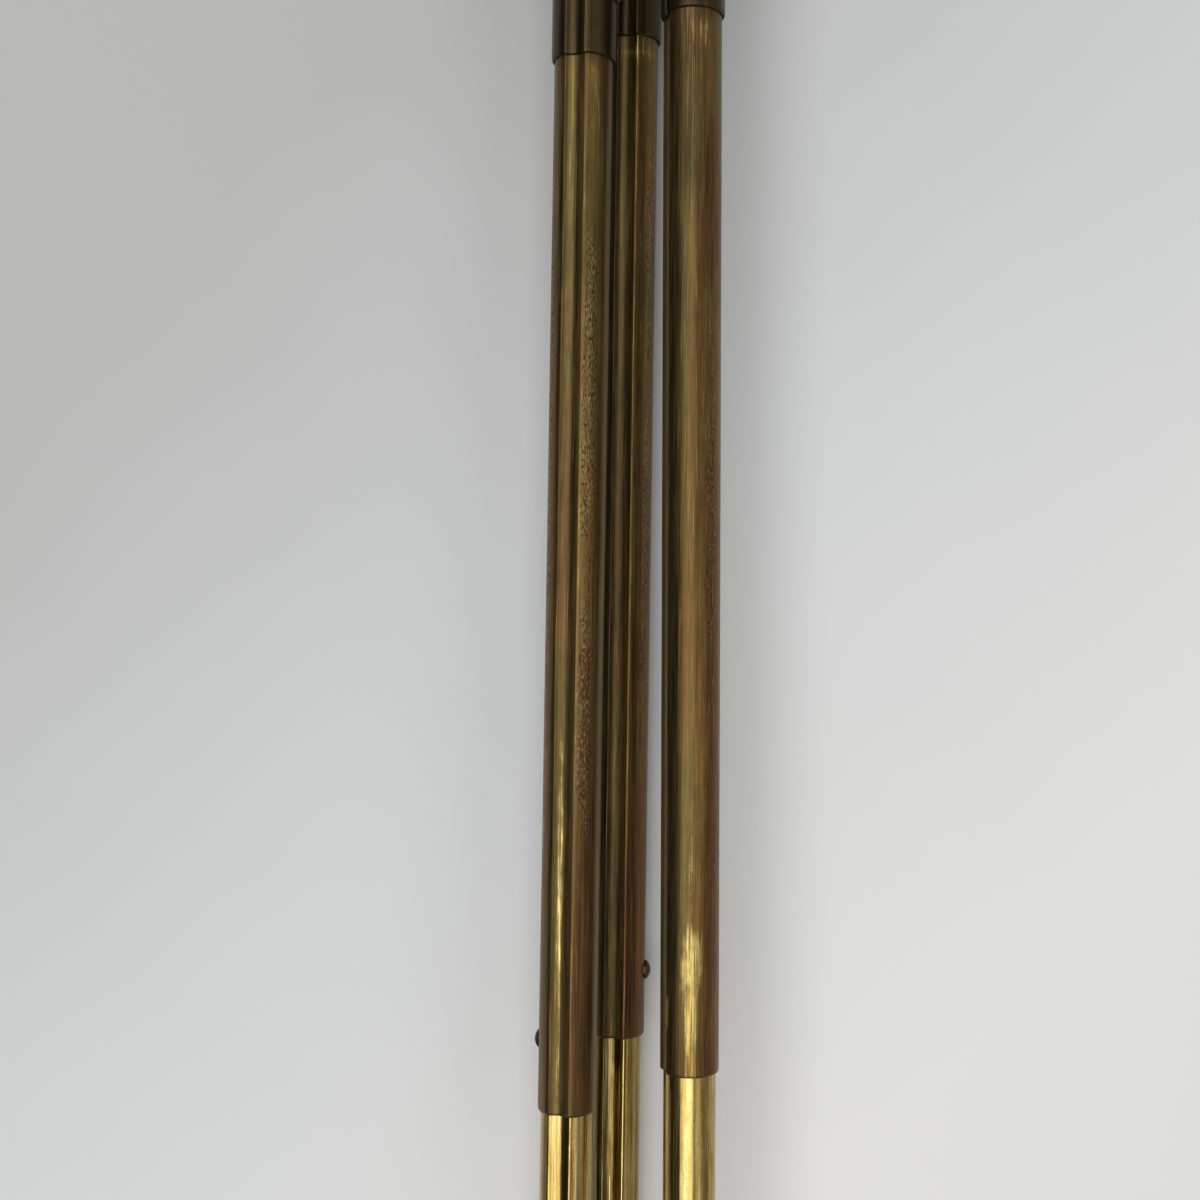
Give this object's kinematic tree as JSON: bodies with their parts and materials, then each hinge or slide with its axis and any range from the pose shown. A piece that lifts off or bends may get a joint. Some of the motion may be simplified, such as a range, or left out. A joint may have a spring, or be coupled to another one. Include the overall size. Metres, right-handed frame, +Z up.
{
  "type": "telescopic tripod stand",
  "caption": "Folding brass stand with three grooved telescoping legs that lock by spring buttons, a round head with a camera screw, and pointed feet; stored folded on its side.",
  "frame": {"origin": "where the camera screw leaves the face of the seat pad, on the head axis", "axes": "+Y along the head towards the camera screw, +Z up from the table that the folded stand lies on, +X to the right with the feet towards the viewer"},
  "size_m": [0.0602, 1.0368, 0.056],
  "materials": {
    "dark_patina_brass": "brown-black patinated drawn brass",
    "bronze_brass": "worn antique bronze patina on drawn brass",
    "polished_brass": "polished drawn brass, lightly tarnished",
    "steel": "bright drawn steel",
    "leather": "dark brown vegetable-tanned leather"
  },
  "bodies": {
    "head": {"head_plate": "dark_patina_brass", "head_spider": "bronze_brass", "seat_pad": "leather", "camera_screw": "polished_brass", "head_screws": "steel", "hinge_pins": "steel"},
    "left_leg_pivot": {"left_leg_knuckle": "bronze_brass"},
    "left_leg_section_1": {"left_leg_top_plug": "bronze_brass", "left_leg_tube_1": "dark_patina_brass"},
    "left_leg_section_2": {"left_leg_tube_2": "dark_patina_brass", "left_leg_spring_2": "steel"},
    "left_leg_catch_2": {"left_leg_button_2": "polished_brass"},
    "left_leg_section_3": {"left_leg_tube_3": "bronze_brass", "left_leg_spring_3": "steel"},
    "left_leg_catch_3": {"left_leg_button_3": "polished_brass"},
    "left_leg_section_4": {"left_leg_tube_4": "polished_brass", "left_leg_spring_4": "steel", "left_leg_foot": "polished_brass", "left_leg_point": "steel"},
    "left_leg_catch_4": {"left_leg_button_4": "polished_brass"},
    "middle_leg_pivot": {"middle_leg_knuckle": "bronze_brass"},
    "middle_leg_section_1": {"middle_leg_top_plug": "bronze_brass", "middle_leg_tube_1": "dark_patina_brass"},
    "middle_leg_section_2": {"middle_leg_tube_2": "dark_patina_brass", "middle_leg_spring_2": "steel"},
    "middle_leg_catch_2": {"middle_leg_button_2": "polished_brass"},
    "middle_leg_section_3": {"middle_leg_tube_3": "bronze_brass", "middle_leg_spring_3": "steel"},
    "middle_leg_catch_3": {"middle_leg_button_3": "polished_brass"},
    "middle_leg_section_4": {"middle_leg_tube_4": "polished_brass", "middle_leg_spring_4": "steel", "middle_leg_foot": "polished_brass", "middle_leg_point": "steel"},
    "middle_leg_catch_4": {"middle_leg_button_4": "polished_brass"},
    "right_leg_pivot": {"right_leg_knuckle": "bronze_brass"},
    "right_leg_section_1": {"right_leg_top_plug": "bronze_brass", "right_leg_tube_1": "dark_patina_brass"},
    "right_leg_section_2": {"right_leg_tube_2": "dark_patina_brass", "right_leg_spring_2": "steel"},
    "right_leg_catch_2": {"right_leg_button_2": "polished_brass"},
    "right_leg_section_3": {"right_leg_tube_3": "bronze_brass", "right_leg_spring_3": "steel"},
    "right_leg_catch_3": {"right_leg_button_3": "polished_brass"},
    "right_leg_section_4": {"right_leg_tube_4": "polished_brass", "right_leg_spring_4": "steel", "right_leg_foot": "polished_brass", "right_leg_point": "steel"},
    "right_leg_catch_4": {"right_leg_button_4": "polished_brass"}
  },
  "joints": [
    {"name": "left_leg_spread", "type": "hinge", "parent": "head", "child": "left_leg_pivot", "pos_m": [-0.01256, -0.0165, 0.00725], "axis": [-0.5, 0, -0.866], "range_deg": [0, 25]},
    {"name": "left_leg_swivel", "type": "hinge", "parent": "left_leg_pivot", "child": "left_leg_section_1", "pos_m": [-0.01256, -0.0165, 0.00725], "axis": [0.002, 1, -0.0011], "continuous": true},
    {"name": "left_leg_slide_2", "type": "slide", "parent": "left_leg_section_1", "child": "left_leg_section_2", "axis": [-0.002, -1, 0.0011], "range_m": [-0.0343, 0.2687], "deforming": ["left_leg_button_2", "left_leg_spring_2"]},
    {"name": "left_leg_press_2", "type": "slide", "parent": "left_leg_section_2", "child": "left_leg_catch_2", "axis": [-0.9272, 0.0014, -0.3746], "range_m": [-0.00032, 0.00248], "deforming": ["left_leg_spring_2"]},
    {"name": "left_leg_slide_3", "type": "slide", "parent": "left_leg_section_2", "child": "left_leg_section_3", "axis": [-0.002, -1, 0.0011], "range_m": [-0.285, 0], "deforming": ["left_leg_button_3", "left_leg_spring_3"]},
    {"name": "left_leg_press_3", "type": "slide", "parent": "left_leg_section_3", "child": "left_leg_catch_3", "axis": [0.9781, -0.0017, 0.2079], "range_m": [-0.00248, 0], "deforming": ["left_leg_spring_3"]},
    {"name": "left_leg_slide_4", "type": "slide", "parent": "left_leg_section_3", "child": "left_leg_section_4", "axis": [-0.002, -1, 0.0011], "range_m": [-0.267, 0], "deforming": ["left_leg_button_4", "left_leg_spring_4"]},
    {"name": "left_leg_press_4", "type": "slide", "parent": "left_leg_section_4", "child": "left_leg_catch_4", "axis": [-0.9272, 0.0014, -0.3746], "range_m": [-0.00248, 0], "deforming": ["left_leg_spring_4"]},
    {"name": "middle_leg_spread", "type": "hinge", "parent": "head", "child": "middle_leg_pivot", "pos_m": [0, -0.0165, -0.0145], "axis": [1, 0, 0], "range_deg": [0, 25]},
    {"name": "middle_leg_swivel", "type": "hinge", "parent": "middle_leg_pivot", "child": "middle_leg_section_1", "pos_m": [0, -0.0165, -0.0145], "axis": [0, 1, 0.0043], "continuous": true},
    {"name": "middle_leg_slide_2", "type": "slide", "parent": "middle_leg_section_1", "child": "middle_leg_section_2", "axis": [0, -1, -0.0043], "range_m": [-0.02, 0.283], "deforming": ["middle_leg_button_2", "middle_leg_spring_2"]},
    {"name": "middle_leg_press_2", "type": "slide", "parent": "middle_leg_section_2", "child": "middle_leg_catch_2", "axis": [0.9986, -0.0002, 0.0523], "range_m": [-0.00018, 0.00248], "deforming": ["middle_leg_spring_2"]},
    {"name": "middle_leg_slide_3", "type": "slide", "parent": "middle_leg_section_2", "child": "middle_leg_section_3", "axis": [0, -1, -0.0043], "range_m": [-0.285, 0], "deforming": ["middle_leg_button_3", "middle_leg_spring_3"]},
    {"name": "middle_leg_press_3", "type": "slide", "parent": "middle_leg_section_3", "child": "middle_leg_catch_3", "axis": [-0.9744, 0.001, -0.2249], "range_m": [-0.00248, 0], "deforming": ["middle_leg_spring_3"]},
    {"name": "middle_leg_slide_4", "type": "slide", "parent": "middle_leg_section_3", "child": "middle_leg_section_4", "axis": [0, -1, -0.0043], "range_m": [-0.267, 0], "deforming": ["middle_leg_button_4", "middle_leg_spring_4"]},
    {"name": "middle_leg_press_4", "type": "slide", "parent": "middle_leg_section_4", "child": "middle_leg_catch_4", "axis": [0.9986, -0.0002, 0.0523], "range_m": [-0.00248, 0], "deforming": ["middle_leg_spring_4"]},
    {"name": "right_leg_spread", "type": "hinge", "parent": "head", "child": "right_leg_pivot", "pos_m": [0.01256, -0.0165, 0.00725], "axis": [-0.5, 0, 0.866], "range_deg": [0, 25]},
    {"name": "right_leg_swivel", "type": "hinge", "parent": "right_leg_pivot", "child": "right_leg_section_1", "pos_m": [0.01256, -0.0165, 0.00725], "axis": [-0.0106, 0.9999, -0.0061], "continuous": true},
    {"name": "right_leg_slide_2", "type": "slide", "parent": "right_leg_section_1", "child": "right_leg_section_2", "axis": [0.0106, -0.9999, 0.0061], "range_m": [-0.022, 0.281], "deforming": ["right_leg_button_2", "right_leg_spring_2"]},
    {"name": "right_leg_press_2", "type": "slide", "parent": "right_leg_section_2", "child": "right_leg_catch_2", "axis": [-0.1564, -0.0077, -0.9877], "range_m": [-0.0002, 0.00248], "deforming": ["right_leg_spring_2"]},
    {"name": "right_leg_slide_3", "type": "slide", "parent": "right_leg_section_2", "child": "right_leg_section_3", "axis": [0.0106, -0.9999, 0.0061], "range_m": [-0.285, 0], "deforming": ["right_leg_button_3", "right_leg_spring_3"]},
    {"name": "right_leg_press_3", "type": "slide", "parent": "right_leg_section_3", "child": "right_leg_catch_3", "axis": [0.3255, 0.0092, 0.9455], "range_m": [-0.00248, 0], "deforming": ["right_leg_spring_3"]},
    {"name": "right_leg_slide_4", "type": "slide", "parent": "right_leg_section_3", "child": "right_leg_section_4", "axis": [0.0106, -0.9999, 0.0061], "range_m": [-0.267, 0], "deforming": ["right_leg_button_4", "right_leg_spring_4"]},
    {"name": "right_leg_press_4", "type": "slide", "parent": "right_leg_section_4", "child": "right_leg_catch_4", "axis": [-0.1564, -0.0077, -0.9877], "range_m": [-0.00248, 0], "deforming": ["right_leg_spring_4"]}
  ],
  "couplings": [
    {"joint": "left_leg_press_2", "follows": "left_leg_slide_2", "ratio": 0.00923},
    {"joint": "left_leg_press_3", "follows": "left_leg_slide_3", "ratio": 0.008702},
    {"joint": "left_leg_press_4", "follows": "left_leg_slide_4", "ratio": 0.009288},
    {"joint": "middle_leg_press_2", "follows": "middle_leg_slide_2", "ratio": 0.008763},
    {"joint": "middle_leg_press_3", "follows": "middle_leg_slide_3", "ratio": 0.008702},
    {"joint": "middle_leg_press_4", "follows": "middle_leg_slide_4", "ratio": 0.009288},
    {"joint": "right_leg_press_2", "follows": "right_leg_slide_2", "ratio": 0.008826},
    {"joint": "right_leg_press_3", "follows": "right_leg_slide_3", "ratio": 0.008702},
    {"joint": "right_leg_press_4", "follows": "right_leg_slide_4", "ratio": 0.009288}
  ]
}
